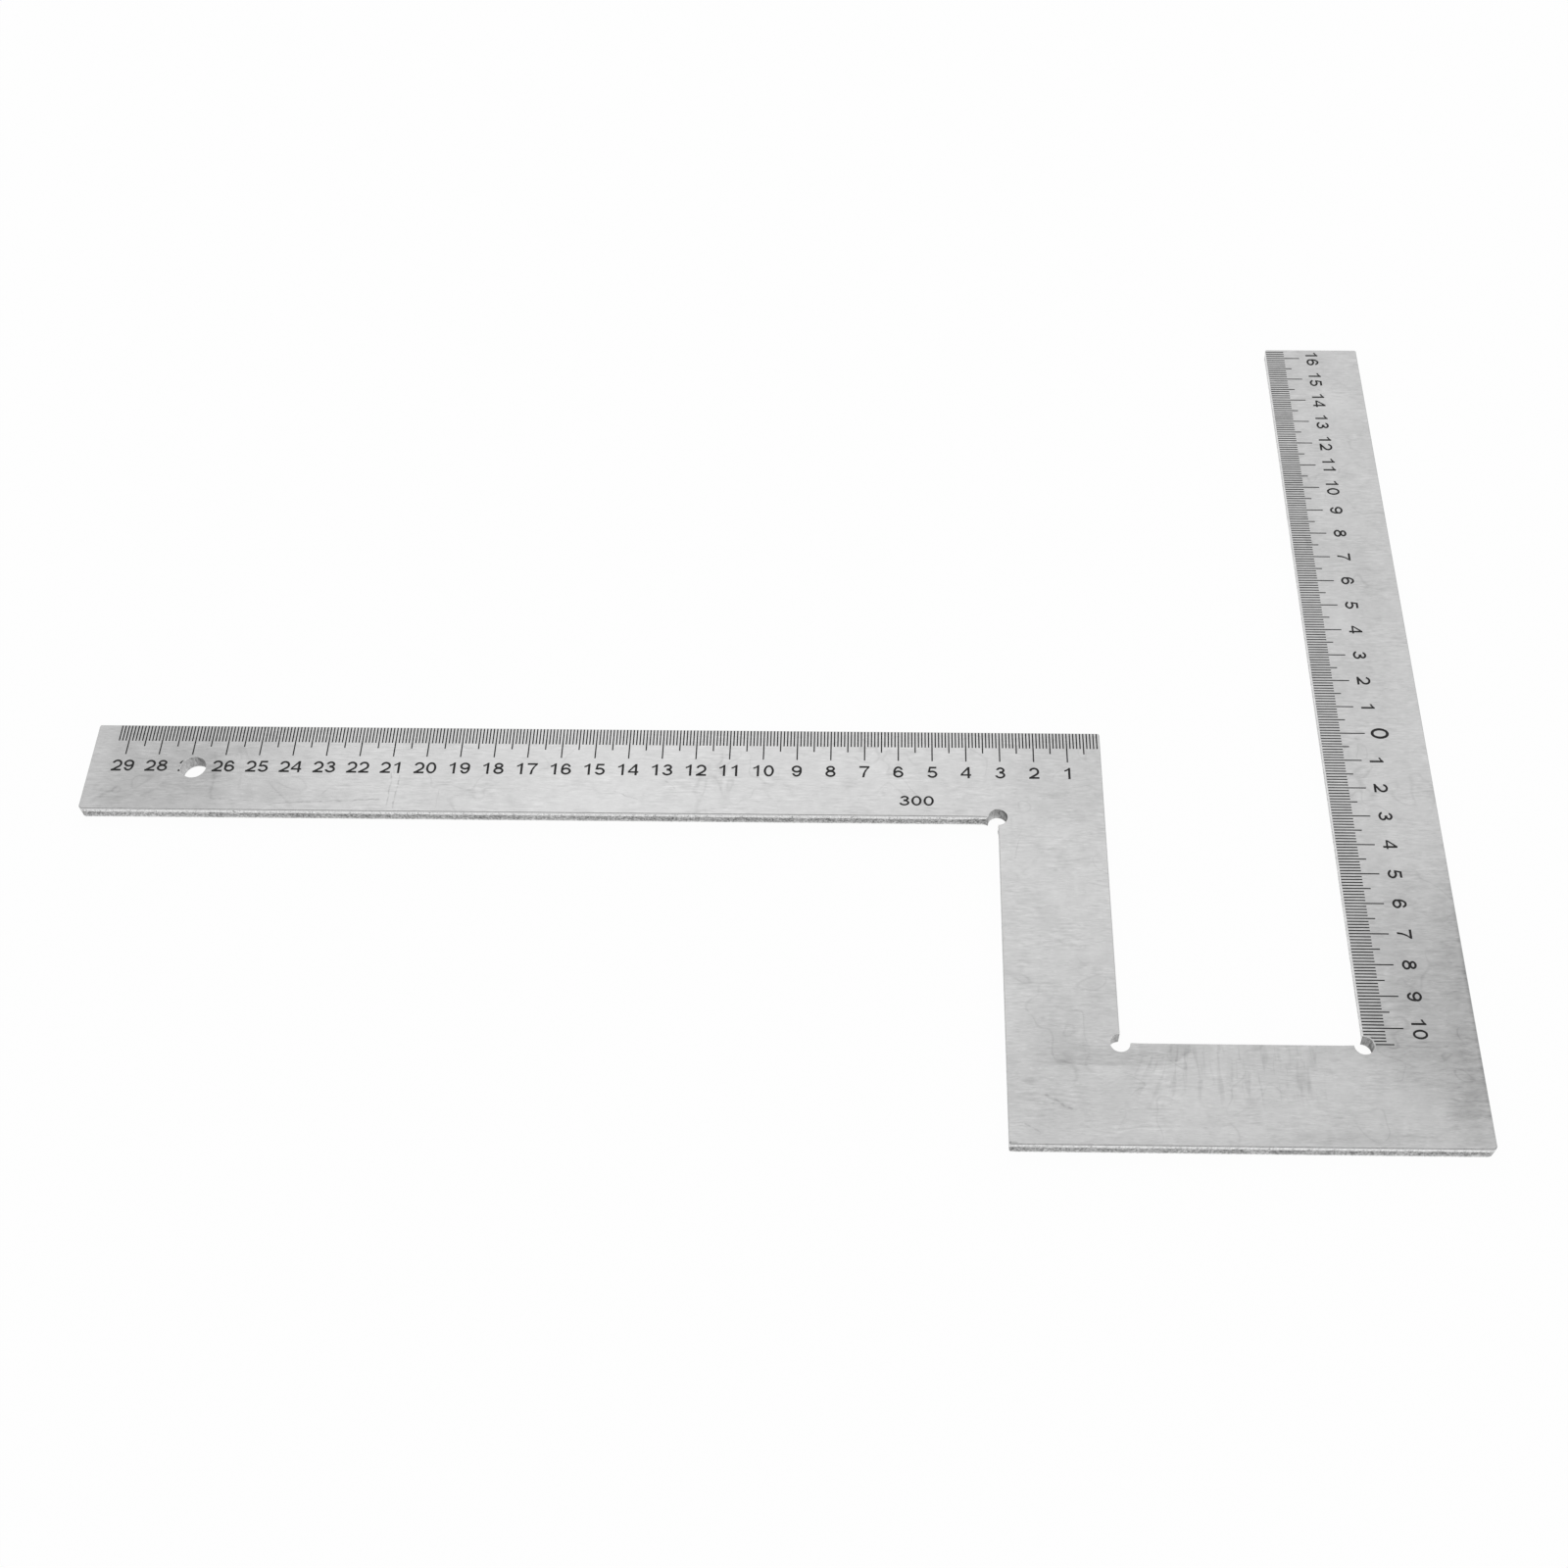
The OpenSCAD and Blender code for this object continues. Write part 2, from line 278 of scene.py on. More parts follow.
def drill_score(along, z):
    """Depth of the scores, which run down the hole at a slant."""
    score = grain((along + 0.3 * z) / (0.5 * MM), z / (4 * MM), 60)
    return max(0.0, DRILL_GRAIN * (0.5 + score)) + foot_roll(z)


def foot_roll(z):
    return FOOT_ROLL if z < SAME else 0.0


# ---- the plate's mesh ----


class Shell:
    """Vertices and faces of the finished plate, gathered before they become one mesh."""

    def __init__(self):
        self.places = []
        self.faces = []
        self.bands = []
        self.smooth = []

    def add_place(self, place):
        self.places.append(place)
        return len(self.places) - 1

    def add_face(self, corners, band, smooth=False):
        self.faces.append(corners)
        self.bands.append(band)
        self.smooth.append(smooth)

    def flat(self, loops, upward):
        """Fills the steel between closed loops of vertices that lie on one level."""
        corners = [index for loop in loops for index in loop]
        flat_places = [Vector(self.places[index][:2]) / MM for index in corners]
        borders = []
        start = 0
        for loop in loops:
            size = len(loop)
            borders += [(start + i, start + (i + 1) % size) for i in range(size)]
            start += size
        found = delaunay_2d_cdt(flat_places, borders, [], 1, 1e-7)
        origin = [sources[0] for sources in found[3]]
        triangles = [tuple(origin[i] for i in triangle) for triangle in found[2]]
        for triangle in inside(triangles, borders):
            chosen = [corners[i] for i in triangle]
            self.add_face(chosen if upward else chosen[::-1], BRUSHED)

    def wall(self, edge):
        """Rings down one closed edge; returns its top ring and its bottom ring."""
        count = len(edge.points)
        before = [rings_below(edge, i, i - 1) for i in range(count)]
        after = [rings_below(edge, i, i) for i in range(count)]
        rings = []
        for k in range(len(after[0])):
            ring = []
            for i, point in enumerate(edge.points):
                place = point + edge.inset(i, before[i][k][1], after[i][k][1])
                height = (before[i][k][0] + after[i][k][0]) / 2
                ring.append(self.add_place((place.x, place.y, height)))
            rings.append(ring)
        for k in range(1, len(rings)):
            for i in range(count):
                j = (i + 1) % count
                band = after[i][k][2]
                self.add_face((rings[k - 1][i], rings[k][i], rings[k][j], rings[k - 1][j]),
                              band, band != TORN)
        return rings[0], rings[-1]

    def mesh(self, name, materials):
        mesh = bpy.data.meshes.new(name)
        mesh.from_pydata(self.places, [], self.faces)
        for material in materials:
            mesh.materials.append(material)
        mesh.polygons.foreach_set("material_index", self.bands)
        mesh.polygons.foreach_set("use_smooth", self.smooth)
        mesh.update()
        return mesh


def inside(triangles, borders):
    """The triangles on the left of the borders, found by spreading from the borders."""
    fence = {frozenset(border) for border in borders}
    owner = {}
    for number, (a, b, c) in enumerate(triangles):
        for side in ((a, b), (b, c), (c, a)):
            owner[side] = number
    waiting = sorted({owner[border] for border in borders})
    kept = set(waiting)
    while waiting:
        a, b, c = triangles[waiting.pop()]
        for here, there in ((a, b), (b, c), (c, a)):
            if frozenset((here, there)) in fence:
                continue
            neighbour = owner.get((there, here))
            if neighbour is not None and neighbour not in kept:
                kept.add(neighbour)
                waiting.append(neighbour)
    return [triangles[number] for number in sorted(kept)]


def finished_plate(materials):
    """The plate with rolled, burnished and torn edges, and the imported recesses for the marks."""
    cad = cad_plate()
    loops = face_loops(cad, THICKNESS)
    outline = max(loops, key=width_of)
    hang = next(loop for loop in loops if is_hang_hole(loop))
    recesses = [loop for loop in loops if loop is not outline and loop is not hang]

    shell = Shell()
    outer_top, outer_foot = shell.wall(Edge([vert.co.xy for vert in outline]))
    hang_top, hang_foot = shell.wall(Edge([vert.co.xy for vert in hang], drilled_all=True))

    index_of = {}
    rim = set(outline) | set(hang)
    for face in cad.faces:
        low = min(vert.co.z for vert in face.verts)
        if at_height(face, THICKNESS) or low < SAME:
            continue
        for vert in face.verts:
            if vert not in index_of and vert not in rim:
                index_of[vert] = shell.add_place(tuple(vert.co))
        shell.add_face([index_of[vert] for vert in face.verts], BRUSHED)
    recess_rims = [[index_of[vert] for vert in loop] for loop in recesses]
    cad.free()

    shell.flat([outer_top, hang_top] + recess_rims, upward=True)
    shell.flat([outer_foot, hang_foot], upward=False)

    piece = bpy.data.objects.new("finished_plate", shell.mesh("finished_plate", materials))
    bpy.context.scene.collection.objects.link(piece)
    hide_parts(PLATE)
    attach(piece, "root")
    return piece


# ---- building materials ----


def put(tree, kind, inputs=None, **settings):
    """A node with its settings; each input is a plain value or another node's output."""
    node = tree.nodes.new(kind)
    for name, value in settings.items():
        setattr(node, name, value)
    for name, value in (inputs or {}).items():
        if isinstance(value, bpy.types.NodeSocket):
            tree.links.new(value, node.inputs[name])
        else:
            node.inputs[name].default_value = value
    return node


def calc(tree, operation, *values, clamp=False):
    """A Math node's output."""
    node = put(tree, "ShaderNodeMath", dict(enumerate(values)), operation=operation,
               use_clamp=clamp)
    return node.outputs[0]


def spread(tree, value, low, high, new_low=0.0, new_high=1.0):
    """A value taken smoothly from one range to another."""
    node = put(tree, "ShaderNodeMapRange",
               {"Value": value, "From Min": low, "From Max": high,
                "To Min": new_low, "To Max": new_high}, interpolation_type="SMOOTHSTEP")
    return node.outputs[0]


def soft_noise(tree, place, detail=2.0, rough=0.5, bend=0.0):
    node = put(tree, "ShaderNodeTexNoise",
               {"Vector": place, "Scale": 1.0, "Detail": detail, "Roughness": rough,
                "Distortion": bend})
    return node.outputs[0]


def in_units(tree, place, x, y, z):
    """A place counted in steps of x, y and z; each is a length or an output."""
    steps = put(tree, "ShaderNodeCombineXYZ", {"X": x, "Y": y, "Z": z}).outputs[0]
    return put(tree, "ShaderNodeVectorMath", {0: place, 1: steps}, operation="DIVIDE").outputs[0]


def shifted(tree, place, x, y, z):
    return put(tree, "ShaderNodeVectorMath", {0: place, 1: (x, y, z)}).outputs[0]


def effect(name, inputs, outputs, wire):
    """A node group. inputs are (name, socket type, value), and wire returns its outputs."""
    tree = bpy.data.node_groups.new(name, "ShaderNodeTree")
    for label, kind, value in inputs:
        socket = tree.interface.new_socket(label, in_out="INPUT", socket_type=kind)
        if value is not None:
            socket.default_value = value
    for label in outputs:
        tree.interface.new_socket(label, in_out="OUTPUT", socket_type="NodeSocketFloat")
    given = tree.nodes.new("NodeGroupInput").outputs
    result = tree.nodes.new("NodeGroupOutput").inputs
    for label, socket in wire(tree, given).items():
        tree.links.new(socket, result[label])
    return tree


def use(tree, group, inputs):
    return put(tree, "ShaderNodeGroup", inputs, node_tree=group).outputs


def brushing(tree, given):
    """Short dashes along X, some below 0 and some above, uneven in strength."""
    place, length, width = given["Place"], given["Length"], given["Width"]
    lines = soft_noise(tree, in_units(tree, place, length, width, width), 2.0, 0.55)
    patches = soft_noise(tree, in_units(tree, shifted(tree, place, 0.3, 0.1, 0.0),
                                        calc(tree, "MULTIPLY", length, 2.5),
                                        calc(tree, "MULTIPLY", width, 9.0), width), 2.0)
    strength = spread(tree, patches, 0.38, 0.66, 0.25, 1.0)
    centred = calc(tree, "SUBTRACT", lines, 0.5)
    return {"Grain": calc(tree, "MULTIPLY", centred, strength)}


def clouding(tree, given):
    """Soft clouds of one size, round 0."""
    size = given["Size"]
    cloud = soft_noise(tree, in_units(tree, given["Place"], size, size, size), 3.0, 0.55, 0.6)
    return {"Cloud": calc(tree, "SUBTRACT", cloud, 0.5)}


def pitting(tree, given):
    """Coarse crystalline grain of torn or cut steel, round 0."""
    place, size = given["Place"], given["Size"]
    coarse = soft_noise(tree, in_units(tree, place, size, size, size), 3.0, 0.7)
    finer = calc(tree, "MULTIPLY", size, 0.4)
    fine = soft_noise(tree, in_units(tree, shifted(tree, place, 0.4, 0.0, 0.1),
                                     finer, finer, finer), 2.0)
    both = calc(tree, "ADD", calc(tree, "MULTIPLY", coarse, 0.6),
                calc(tree, "MULTIPLY", fine, 0.4))
    return {"Pits": calc(tree, "SUBTRACT", both, 0.5)}


def veining(tree, given):
    """1 along thin wandering lines, strong in some places and missing in others."""
    place, size = given["Place"], given["Size"]
    field = soft_noise(tree, in_units(tree, place, size, size, size), 2.0, 0.5, 0.3)
    near = calc(tree, "ABSOLUTE", calc(tree, "SUBTRACT", field, 0.53))
    line = spread(tree, near, 0.0, 0.016, 1.0, 0.0)
    patches = soft_noise(tree, in_units(tree, shifted(tree, place, 0.2, 0.3, 0.0),
                                        size, size, size), 2.0)
    return {"Vein": calc(tree, "MULTIPLY", line, spread(tree, patches, 0.42, 0.62))}


def stain_and_shade_patch(tree, given):
    """1 in the middle of a soft uneven patch, 0 outside it."""
    place = given["Place"]
    off = put(tree, "ShaderNodeVectorMath", {0: place, 1: given["Centre"]}, operation="SUBTRACT")
    off = put(tree, "ShaderNodeVectorMath", {0: off.outputs[0], 1: given["Reach"]},
              operation="DIVIDE")
    far = put(tree, "ShaderNodeVectorMath", {0: off.outputs[0]}, operation="LENGTH").outputs[1]
    wave = soft_noise(tree, in_units(tree, place, 6 * MM, 2 * MM, 6 * MM), 4.0, 0.6)
    bent = calc(tree, "MULTIPLY_ADD", calc(tree, "SUBTRACT", wave, 0.5), 0.75, far)
    return {"StainAndShade": spread(tree, bent, 0.1, 1.0, 1.0, 0.0)}


def scratch_and_shade_line(tree, given):
    """1 along one slightly wavering line between two places."""
    place = given["Place"]
    wave = put(tree, "ShaderNodeTexNoise", {"Vector": place, "Scale": 1 / (3 * MM)}).outputs[1]
    wave = put(tree, "ShaderNodeVectorMath", {0: wave, 1: (0.5, 0.5, 0.5)}, operation="SUBTRACT")
    bent = put(tree, "ShaderNodeVectorMath", {0: wave.outputs[0], 1: (1.2 * MM,) * 3, 2: place},
               operation="MULTIPLY_ADD").outputs[0]
    off = put(tree, "ShaderNodeVectorMath", {0: bent, 1: given["From"]},
              operation="SUBTRACT").outputs[0]
    whole = put(tree, "ShaderNodeVectorMath", {0: given["To"], 1: given["From"]},
                operation="SUBTRACT").outputs[0]
    along = put(tree, "ShaderNodeVectorMath", {0: off, 1: whole}, operation="DOT_PRODUCT")
    length = put(tree, "ShaderNodeVectorMath", {0: whole, 1: whole}, operation="DOT_PRODUCT")
    share = calc(tree, "DIVIDE", along.outputs[1], length.outputs[1], clamp=True)
    nearest = put(tree, "ShaderNodeVectorMath", {0: whole, "Scale": share}, operation="SCALE")
    apart = put(tree, "ShaderNodeVectorMath", {0: off, 1: nearest.outputs[0]},
                operation="SUBTRACT")
    far = put(tree, "ShaderNodeVectorMath", {0: apart.outputs[0]}, operation="LENGTH").outputs[1]
    line = spread(tree, far, 0.0, given["Width"], 1.0, 0.0)
    patches = soft_noise(tree, in_units(tree, place, 1.5 * MM, 1.5 * MM, 1.5 * MM), 1.0)
    return {"Line": calc(tree, "MULTIPLY", line, spread(tree, patches, 0.35, 0.6, 0.3, 1.0))}


def make_effects():
    vector, number = "NodeSocketVector", "NodeSocketFloat"
    place = ("Place", vector, None)
    return {
        "brushing": effect("brushing", [place, ("Length", number, 3 * MM),
                                        ("Width", number, 0.2 * MM)], ["Grain"], brushing),
        "clouding": effect("clouding", [place, ("Size", number, 40 * MM)], ["Cloud"], clouding),
        "pitting": effect("pitting", [place, ("Size", number, 0.5 * MM)], ["Pits"], pitting),
        "veining": effect("veining", [place, ("Size", number, 12 * MM)], ["Vein"], veining),
        "stain_and_shade_patch": effect("stain_and_shade_patch", [place, ("Centre", vector, None),
                                        ("Reach", vector, (0.01, 0.01, 0.01))],
                           ["StainAndShade"], stain_and_shade_patch),
        "scratch_and_shade_line": effect("scratch_and_shade_line", [place, ("From", vector, None),
                                            ("To", vector, (0.01, 0.0, 0.0)),
                                            ("Width", number, 0.3 * MM)],
                             ["Line"], scratch_and_shade_line),
    }


def new_material(name):
    """A new material with its tree, its shader and the place on the object."""
    material = bpy.data.materials.new(name)
    material.use_nodes = True
    tree = material.node_tree
    place = put(tree, "ShaderNodeTexCoord").outputs["Object"]
    return material, tree, tree.nodes["Principled BSDF"], place


def weighted(tree, base, *pairs):
    """base plus each value times its weight."""
    total = base
    for value, weight in pairs:
        total = calc(tree, "MULTIPLY_ADD", value, weight, total)
    return total


def grey(tree, value):
    """A neutral colour of one value."""
    return put(tree, "ShaderNodeCombineColor",
               {"Red": value, "Green": value, "Blue": value}).outputs[0]


def bump(tree, height, depth):
    return put(tree, "ShaderNodeBump", {"Height": height, "Distance": depth}).outputs[0]


def height_of(tree, place):
    return put(tree, "ShaderNodeSeparateXYZ", {"Vector": place}).outputs["Z"]


def facing(tree, x, y):
    """How squarely a wall, seen from above, faces the direction (x, y): 1 fully, -1 away."""
    outward = put(tree, "ShaderNodeTexCoord").outputs["Normal"]
    level = put(tree, "ShaderNodeVectorMath", {0: outward, 1: (1.0, 1.0, 0.0)},
                operation="MULTIPLY").outputs[0]
    level = put(tree, "ShaderNodeVectorMath", {0: level}, operation="NORMALIZE").outputs[0]
    return put(tree, "ShaderNodeVectorMath", {0: level, 1: (x, y, 0.0)},
               operation="DOT_PRODUCT").outputs[1]


# soft patches on the marked face, stains and painted shade, in metres: middle, reach, and how much
# darker (or, below 0, lighter) the steel is there
STAINS_AND_SHADE = [
    ((-0.283, -0.015), (0.055, 0.050), 0.07),
    ((-0.264, -0.016), (0.009, 0.016), 0.04),
    ((-0.240, -0.0245), (0.030, 0.0045), 0.03),
    # painted shade: the next three patches darken the lower right of the tall arm and a thin band
    # along its outer edge
    ((0.0850, -0.085), (0.024, 0.055), 0.09),
    ((0.0950, -0.080), (0.008, 0.070), 0.06),
    ((0.0968, -0.0900), (0.0016, 0.0600), 0.09),
    ((0.0950, -0.1180), (0.015, 0.0230), 0.07),
    ((0.0895, -0.1235), (0.0070, 0.0080), 0.05),
    ((0.0780, -0.1050), (0.024, 0.0070), 0.04),
    ((0.0600, -0.1318), (0.042, 0.0028), 0.04),
    ((-0.018, -0.0425), (0.009, 0.0030), 0.03),
    ((-0.012, -0.036), (0.008, 0.0060), -0.04),
    ((-0.0745, -0.019), (0.0035, 0.0025), 0.04),
    ((-0.0665, -0.013), (0.0035, 0.0020), -0.03),
    ((-0.025, -0.116), (0.003, 0.0012), 0.07),
    ((0.048, -0.1155), (0.0030, 0.0040), 0.05),
    ((0.051, -0.1080), (0.0020, 0.0060), 0.04),
    ((0.015, -0.131), (0.045, 0.0035), -0.03),
    ((0.040, -0.122), (0.040, 0.0150), -0.04),
    ((-0.010, -0.018), (0.028, 0.0300), 0.035),
    ((-0.298, -0.016), (0.008, 0.0400), -0.05),
    ((-0.015, -0.100), (0.012, 0.0200), 0.03),
    ((0.0860, 0.140), (0.010, 0.0120), -0.03),
    ((0.0870, 0.107), (0.004, 0.0040), 0.04),
]

# single scratches on the marked face, and one dark nick of painted shade, in metres: both ends,
# width and how much darker
SCRATCHES_AND_SHADE = [
    ((-0.0205, -0.1203), (-0.0140, -0.1243), 0.65 * MM, 0.11),
    ((-0.0265, -0.1290), (-0.0225, -0.1310), 0.4 * MM, 0.10),
    # painted shade: a near-black nick at the base's left front corner, standing for the shadow in a
    # small chip that the mesh lacks
    ((-0.0308, -0.1343), (-0.0290, -0.1344), 0.6 * MM, 0.50),
    ((-0.0250, -0.0380), (-0.0265, -0.0450), 0.4 * MM, 0.06),
    ((-0.2965, -0.0280), (-0.2905, -0.0230), 1.0 * MM, 0.07),
    ((-0.2820, -0.0255), (-0.2780, -0.0228), 0.8 * MM, 0.05),
    ((-0.2630, -0.0105), (-0.2623, -0.0180), 0.8 * MM, 0.03),
    ((-0.2623, -0.0180), (-0.2618, -0.0270), 1.0 * MM, 0.055),
    ((-0.2544, -0.0170), (-0.2541, -0.0235), 0.7 * MM, 0.05),
    ((-0.2620, -0.0265), (-0.2400, -0.0280), 0.4 * MM, 0.10),
    ((-0.2400, -0.0278), (-0.2120, -0.0262), 0.45 * MM, 0.13),
    ((-0.2310, -0.0265), (-0.2275, -0.0230), 0.35 * MM, 0.08),
    ((-0.2096, -0.0170), (-0.2096, -0.0290), 0.35 * MM, 0.13),
    ((-0.2072, -0.0160), (-0.2076, -0.0295), 0.35 * MM, 0.14),
    ((-0.1950, -0.0210), (-0.1952, -0.0290), 0.3 * MM, 0.08),
    ((-0.1435, -0.0225), (-0.1365, -0.0255), 0.35 * MM, 0.13),
    ((-0.1305, -0.0165), (-0.1255, -0.0215), 0.3 * MM, 0.12),
    ((-0.1125, -0.0080), (-0.1120, -0.0220), 0.9 * MM, 0.04),
]


def on_face(spot):
    return (spot[0], spot[1], THICKNESS)


def brushed_steel(effects):
    """The faces: short brushing along X, soft stains and patches of painted shade, wipe marks,
    scratches and a painted dark nick.
    """
    material, tree, shader, place = new_material("brushed_steel")
    fine = use(tree, effects["brushing"], {"Place": place, "Length": 1.8 * MM,
                                           "Width": 0.2 * MM})["Grain"]
    broad = use(tree, effects["brushing"], {"Place": place, "Length": 4.5 * MM,
                                            "Width": 0.7 * MM})["Grain"]
    wide = use(tree, effects["clouding"], {"Place": place, "Size": 60 * MM})["Cloud"]
    middling = use(tree, effects["clouding"], {"Place": place, "Size": 16 * MM})["Cloud"]
    close = use(tree, effects["clouding"], {"Place": place, "Size": 4 * MM})["Cloud"]
    veins = use(tree, effects["veining"], {"Place": place, "Size": 18 * MM})["Vein"]
    tone = weighted(tree, 0.485, (fine, 0.34), (broad, 0.27), (wide, 0.08), (middling, 0.12),
                    (close, 0.1), (veins, -0.05), (wipe_marks(tree, place), -0.06),
                    (wiped_bank(tree, place), -0.07))
    # these patches are stains, and on the tall arm's lower right and outer edge they are painted
    # shade
    for middle, reach, darker in STAINS_AND_SHADE:
        stain_and_shade = use(tree, effects["stain_and_shade_patch"], {"Place": place, "Centre": on_face(middle),
                                                "Reach": (reach[0], reach[1], 1.0)})["StainAndShade"]
        tone = calc(tree, "MULTIPLY_ADD", stain_and_shade, -darker, tone)
    # these lines are scratches, and one of them is the painted shade of the corner nick
    for start, end, width, darker in SCRATCHES_AND_SHADE:
        line = use(tree, effects["scratch_and_shade_line"], {"Place": place, "From": on_face(start),
                                                 "To": on_face(end), "Width": width})["Line"]
        tone = calc(tree, "MULTIPLY_ADD", line, -darker, tone)
    tree.links.new(grey(tree, tone), shader.inputs["Base Color"])
    shader.inputs["Metallic"].default_value = 1.0
    roughness = weighted(tree, 0.4, (fine, 0.2), (middling, 0.1))
    tree.links.new(roughness, shader.inputs["Roughness"])
    height = weighted(tree, fine, (broad, 0.6))
    tree.links.new(bump(tree, height, 0.01 * MM), shader.inputs["Normal"])
    return material


def wipe_marks(tree, place):
    """Soft streaks across the base, leaning at its neck end, as a rag left them."""
    top_y = GAP_FLOOR_Y - 9 * MM
    parts = put(tree, "ShaderNodeSeparateXYZ", {"Vector": place}).outputs
    below_top = calc(tree, "SUBTRACT", parts["Y"], top_y)
    leaning = spread(tree, parts["X"], 6 * MM, 20 * MM, -0.45, 0.0)
    leaned = calc(tree, "MULTIPLY_ADD", below_top, leaning, parts["X"])
    steps = put(tree, "ShaderNodeCombineXYZ", {"X": calc(tree, "DIVIDE", leaned, 1.5 * MM),
                                               "Y": calc(tree, "DIVIDE", parts["Y"], 11 * MM)})
    streaks = soft_noise(tree, steps.outputs[0], 2.0, 0.5, 0.35)
    off_x = calc(tree, "ABSOLUTE", calc(tree, "SUBTRACT", parts["X"], 30 * MM))
    off_y = calc(tree, "ABSOLUTE", below_top)
    within_x = spread(tree, off_x, 20 * MM, 30 * MM, 1.0, 0.0)
    within_y = spread(tree, off_y, 5 * MM, 12 * MM, 1.0, 0.0)
    within = calc(tree, "MULTIPLY", within_x, within_y)
    return calc(tree, "MULTIPLY", spread(tree, streaks, 0.5, 0.68), within)


def wiped_bank(tree, place):
    """The darker film that the rag left above its marks, sharp along its lower side."""
    parts = put(tree, "ShaderNodeSeparateXYZ", {"Vector": place}).outputs
    bent = soft_noise(tree, in_units(tree, place, 5 * MM, 5 * MM, 5 * MM), 3.0)
    rise = spread(tree, parts["X"], 12 * MM, 19 * MM, 0.0, 4 * MM)
    above = calc(tree, "SUBTRACT", calc(tree, "SUBTRACT", parts["Y"], rise),
                 GAP_FLOOR_Y - 7 * MM)
    above = calc(tree, "MULTIPLY_ADD", bent, 1.6 * MM, above)
    foot = spread(tree, above, 0.6 * MM, 1.2 * MM)
    top = spread(tree, above, 2 * MM, 11 * MM, 1.0, 0.0)
    left = spread(tree, parts["X"], -26 * MM, -14 * MM)
    right = spread(tree, parts["X"], 18 * MM, 21 * MM, 1.0, 0.0)
    return calc(tree, "MULTIPLY", calc(tree, "MULTIPLY", foot, top),
                calc(tree, "MULTIPLY", left, right))


def cut_steel(name, tone, rough, relief, build):
    """A steel material for an edge. build returns its pattern and what else tints it."""
    material, tree, shader, place = new_material(name)
    pattern, pairs = build(tree, place)
    value = weighted(tree, tone, *pairs)
    tree.links.new(grey(tree, calc(tree, "MAXIMUM", value, 0.03)), shader.inputs["Base Color"])
    shader.inputs["Metallic"].default_value = 1.0
    tree.links.new(weighted(tree, rough, (pattern, 0.3)), shader.inputs["Roughness"])
    tree.links.new(bump(tree, pattern, relief), shader.inputs["Normal"])
    return material


def edge_steels(effects):
    """The materials of the rolled rim, the burnished band, the torn band and drilled holes."""
    def pits(tree, place, size):
        return use(tree, effects["pitting"], {"Place": place, "Size": size})["Pits"]

    def rolled(tree, place):
        grains = pits(tree, place, 0.8 * MM)
        # painted shade: a dark line along the top of the roll, darkest on walls that face the front
        # (-Y)
        painted_shade_at_top = spread(tree, height_of(tree, place), THICKNESS - 0.25 * MM,
                      THICKNESS - 0.05 * MM)
        front = spread(tree, facing(tree, 0, -1), -0.6, 0.7)
        line = calc(tree, "MULTIPLY", painted_shade_at_top, front)
        return grains, [(grains, 0.6), (painted_shade_at_top, -0.15), (line, -0.3)]

    def burnished(tree, place):
        grains = pits(tree, place, 1.1 * MM)
        specks = spread(tree, grains, -0.04, -0.12)
        upright = soft_noise(tree, in_units(tree, place, 0.5 * MM, 0.5 * MM, 4 * MM), 2.0)
        lines = calc(tree, "SUBTRACT", upright, 0.5)
        return grains, [(grains, 0.6), (specks, -0.3), (lines, 0.7)]

    def torn(tree, place):
        grains = pits(tree, place, 0.6 * MM)
        specks = spread(tree, grains, -0.1, 0.12)
        foot = spread(tree, height_of(tree, place), 1.4 * MM, 0.3 * MM)
        shelf = use(tree, effects["clouding"], {"Place": place, "Size": 9 * MM})["Cloud"]
        # painted light: torn walls that face -X are made lighter
        side = spread(tree, facing(tree, -1, 0), 0.5, 0.9)
        return grains, [(specks, 0.5), (foot, 0.2), (shelf, 0.35), (side, 0.25)]

    def drilled(tree, place):
        streaks = soft_noise(tree, in_units(tree, place, 0.5 * MM, 0.5 * MM, 1.8 * MM), 3.0,
                             0.65, 0.8)
        cloud = use(tree, effects["clouding"], {"Place": place, "Size": 3 * MM})["Cloud"]
        centred = calc(tree, "SUBTRACT", streaks, 0.5)
        # painted light and shade: walls of a hole that face +X are lighter, those that face -X
        # darker
        return centred, [(centred, 0.9), (cloud, 0.5), (facing(tree, 1, 0), 0.2)]

    return [
        cut_steel("rolled_steel", 0.72, 0.35, 0.02 * MM, rolled),
        cut_steel("burnished_steel", 0.74, 0.3, 0.02 * MM, burnished),
        # the torn band's dark tone is its own grey grain and also painted shade of the self-shadow
        # in that rough grain
        cut_steel("torn_steel", 0.15, 0.45, 0.08 * MM, torn),
        # painted shade: the drilled walls are darker, as the inside of a hole is shaded
        cut_steel("drilled_steel", 0.33, 0.4, 0.05 * MM, drilled),
    ]


def black_enamel(effects):
    """Matt black fill, a little uneven."""
    material, tree, shader, place = new_material("black_enamel")
    cloud = use(tree, effects["clouding"], {"Place": place, "Size": 5 * MM})["Cloud"]
    pits = use(tree, effects["pitting"], {"Place": place, "Size": 0.3 * MM})["Pits"]
    tone = weighted(tree, 0.012, (cloud, 0.015), (pits, 0.02))
    tree.links.new(grey(tree, calc(tree, "MAXIMUM", tone, 0.004)), shader.inputs["Base Color"])
    tree.links.new(weighted(tree, 0.6, (cloud, 0.2)), shader.inputs["Roughness"])
    shader.inputs["Specular IOR Level"].default_value = 0.25
    tree.links.new(bump(tree, pits, 0.01 * MM), shader.inputs["Normal"])
    return material


# ---- camera, floor and light ----


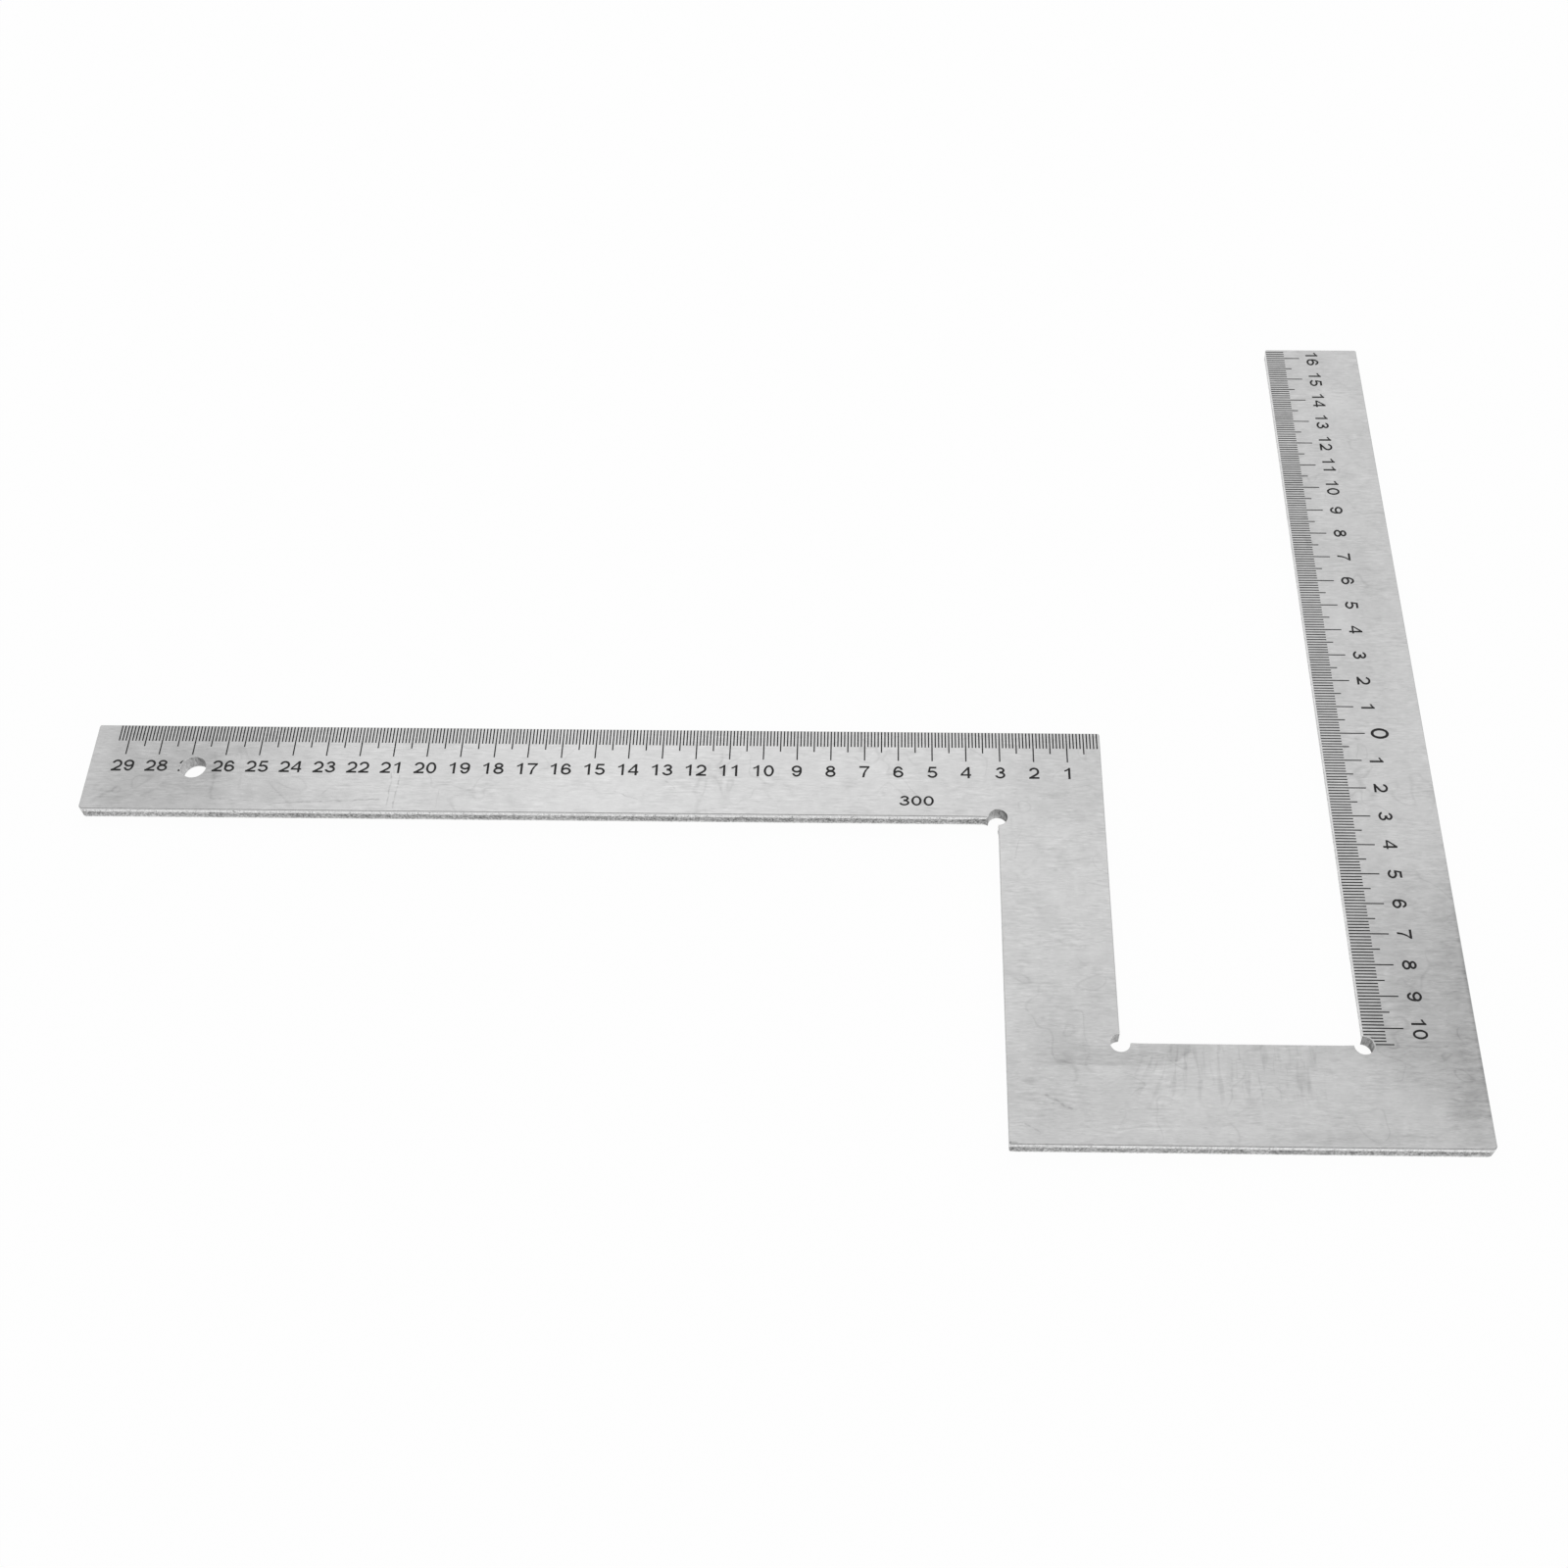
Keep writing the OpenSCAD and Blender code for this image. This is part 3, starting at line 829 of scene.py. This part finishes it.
def camera():
    data = bpy.data.cameras.new("camera")
    data.lens = 49.09
    data.sensor_width = 36.0
    data.shift_x = -0.034
    data.clip_start = 0.01
    eye = bpy.data.objects.new("camera", data)
    eye.location = (-0.0679, -0.3841, 0.5163)
    eye.rotation_euler = [math.radians(turn) for turn in (35.505, 0.443, 0.953)]
    bpy.context.scene.collection.objects.link(eye)
    bpy.context.scene.camera = eye


def seen_plainly(tree):
    """1 for rays from the camera and for mirrored and bent rays, so that they meet plain white."""
    path = put(tree, "ShaderNodeLightPath").outputs
    mirrored = calc(tree, "MAXIMUM", path["Is Glossy Ray"], path["Is Transmission Ray"])
    return calc(tree, "MAXIMUM", path["Is Camera Ray"], mirrored)


def white_world():
    world = bpy.data.worlds.new("studio")
    world.use_nodes = True
    tree = world.node_tree
    tree.nodes.clear()
    room = put(tree, "ShaderNodeBackground", {"Color": (0.9, 0.9, 0.9, 1), "Strength": 0.85})
    white = put(tree, "ShaderNodeBackground", {"Color": (1, 1, 1, 1), "Strength": 1.0})
    mixed = put(tree, "ShaderNodeMixShader", {0: seen_plainly(tree), 1: room.outputs[0],
                                              2: white.outputs[0]})
    put(tree, "ShaderNodeOutputWorld", {"Surface": mixed.outputs[0]})
    bpy.context.scene.world = world


def white_floor():
    half = 3.0
    mesh = bpy.data.meshes.new("floor")
    drop = -0.05 * MM
    mesh.from_pydata([(-half, -half, drop), (half, -half, drop), (half, half, drop),
                      (-half, half, drop)], [], [(0, 1, 2, 3)])
    floor = bpy.data.objects.new("floor", mesh)
    bpy.context.scene.collection.objects.link(floor)
    material = bpy.data.materials.new("floor_white")
    material.use_nodes = True
    tree = material.node_tree
    tree.nodes.clear()
    matt = put(tree, "ShaderNodeBsdfDiffuse", {"Color": (0.9, 0.9, 0.9, 1)})
    glow = put(tree, "ShaderNodeEmission", {"Color": (1, 1, 1, 1), "Strength": 1.0})
    share = calc(tree, "MULTIPLY", seen_plainly(tree), 0.96)
    mixed = put(tree, "ShaderNodeMixShader", {0: share, 1: matt.outputs[0], 2: glow.outputs[0]})
    put(tree, "ShaderNodeOutputMaterial", {"Surface": mixed.outputs[0]})
    mesh.materials.append(material)


def soft_lamp(name, place, aim, size, power):
    data = bpy.data.lights.new(name, "AREA")
    data.shape = "DISK"
    data.size = size
    data.energy = power
    lamp = bpy.data.objects.new(name, data)
    lamp.location = place
    lamp.rotation_euler = (Vector(aim) - Vector(place)).to_track_quat("-Z", "Y").to_euler()
    bpy.context.scene.collection.objects.link(lamp)


def studio():
    camera()
    white_world()
    white_floor()
    soft_lamp("back_left", (-0.3, 0.91, 1.3), (-0.12, 0.0, 0.0), 0.8, 1.55)
    soft_lamp("back_right", (0.45, 1.05, 1.25), (0.08, 0.05, 0.0), 0.8, 0.5)
    view = bpy.context.scene.view_settings
    view.view_transform = "Standard"


# ---- the whole object ----

studio()
EFFECTS = make_effects()
PLATE_MATERIALS = [brushed_steel(EFFECTS)] + edge_steels(EFFECTS)
finished_plate(PLATE_MATERIALS)

ENAMEL = black_enamel(EFFECTS)
for enamel_node in ENAMEL_NODES:
    for enamel_slot in frame["nodes"][enamel_node].material_slots:
        enamel_slot.material = ENAMEL
